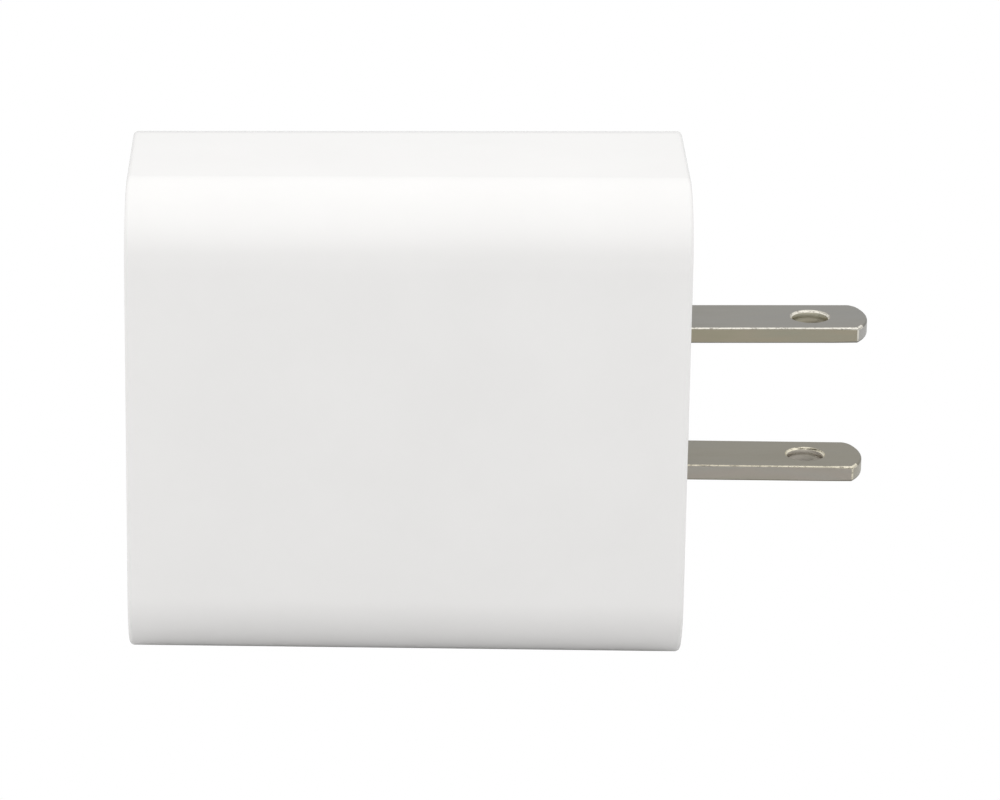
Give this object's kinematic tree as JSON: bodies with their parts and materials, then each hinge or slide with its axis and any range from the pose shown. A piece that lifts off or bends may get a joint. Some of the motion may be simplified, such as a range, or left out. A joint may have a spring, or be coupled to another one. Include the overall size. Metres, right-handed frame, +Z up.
{
  "type": "usb wall charger",
  "caption": "Mains charger with a rounded white shell, fixed flat plug blades on the wall side and USB sockets in the opposite end.",
  "frame": {"origin": "centre of the wall-side face, midway between the two blades", "axes": "+X out of the wall-side face along the blades, towards the wall; +Z up, across the broad side, as the charger stands on a narrow side; +Y through the thin direction, away from the viewer"},
  "size_m": [0.0644, 0.0256, 0.0432],
  "materials": {
    "shell_white": "high gloss moulded polycarbonate",
    "cover_white": "fine satin moulded polycarbonate",
    "nylon_natural": "natural nylon",
    "nickel_plated_brass": "satin nickel plate over brass",
    "spring_bronze": "bare phosphor bronze",
    "circuit_board": "green solder mask on glass epoxy",
    "socket_steel": "nickel-plated drawn steel",
    "socket_plastic_white": "moulded",
    "socket_plastic_black": "moulded",
    "gold_contacts": "gold flash",
    "fuse_brown": "moulded box",
    "thermistor_coat": "dipped coating",
    "ferrite": "sintered and ground",
    "enamelled_copper": "enamelled wire",
    "insulated_wire": "triple-insulated wire",
    "chip_epoxy": "fine moulded epoxy",
    "capacitor_sleeve": "shrunk sleeve",
    "bobbin_phenolic": "moulded phenolic",
    "polyester_tape": "wrapped tape",
    "tinned_steel": "tinned",
    "disc_capacitor_coat": "dipped coating",
    "capacitor_can": "drawn can",
    "chip_resistor_black": "glazed ceramic top",
    "chip_capacitor_tan": "sintered ceramic",
    "insulation_sheet": "polyester sheet",
    "spreader_aluminium": "rolled sheet",
    "thermal_silicone": "soft pad",
    "silicone_white": "cured bead"
  },
  "bodies": {
    "root": {"housing": "shell_white", "rear_cover": "cover_white", "blade_retainer": "nylon_natural", "blade_live": "nickel_plated_brass", "blade_neutral": "nickel_plated_brass", "blade_clip_live": "spring_bronze", "blade_clip_neutral": "spring_bronze", "main_board": "circuit_board", "port_board": "circuit_board", "usb_a_shell": "socket_steel", "usb_a_tongue": "socket_plastic_white", "usb_a_contacts": "gold_contacts", "usb_c_shell": "socket_steel", "usb_c_tongue": "socket_plastic_black", "usb_c_contacts": "gold_contacts", "fuse": "fuse_brown", "inrush_thermistor": "thermistor_coat", "choke_core": "ferrite", "choke_windings": "enamelled_copper", "bridge_rectifier": "chip_epoxy", "bulk_capacitor_large": "capacitor_sleeve", "bulk_capacitor_small": "capacitor_sleeve", "line_inductor_core": "ferrite", "line_inductor_winding": "enamelled_copper", "power_switch": "chip_epoxy", "snubber_diode": "chip_epoxy", "transformer_core_upper": "ferrite", "transformer_core_lower": "ferrite", "transformer_bobbin": "bobbin_phenolic", "transformer_primary": "enamelled_copper", "transformer_secondary": "insulated_wire", "transformer_tape": "polyester_tape", "transformer_pins": "tinned_steel", "y_capacitor": "disc_capacitor_coat", "optocoupler": "chip_epoxy", "sync_rectifier": "chip_epoxy", "output_capacitor_front": "capacitor_can", "output_capacitor_rear": "capacitor_can", "port_controller": "chip_epoxy", "chip_resistors": "chip_resistor_black", "chip_capacitors": "chip_capacitor_tan", "insulation_barrier": "insulation_sheet", "insulation_film": "insulation_sheet", "heat_spreader": "spreader_aluminium", "thermal_pad": "thermal_silicone", "capacitor_adhesive": "silicone_white"}
  },
  "joints": []
}
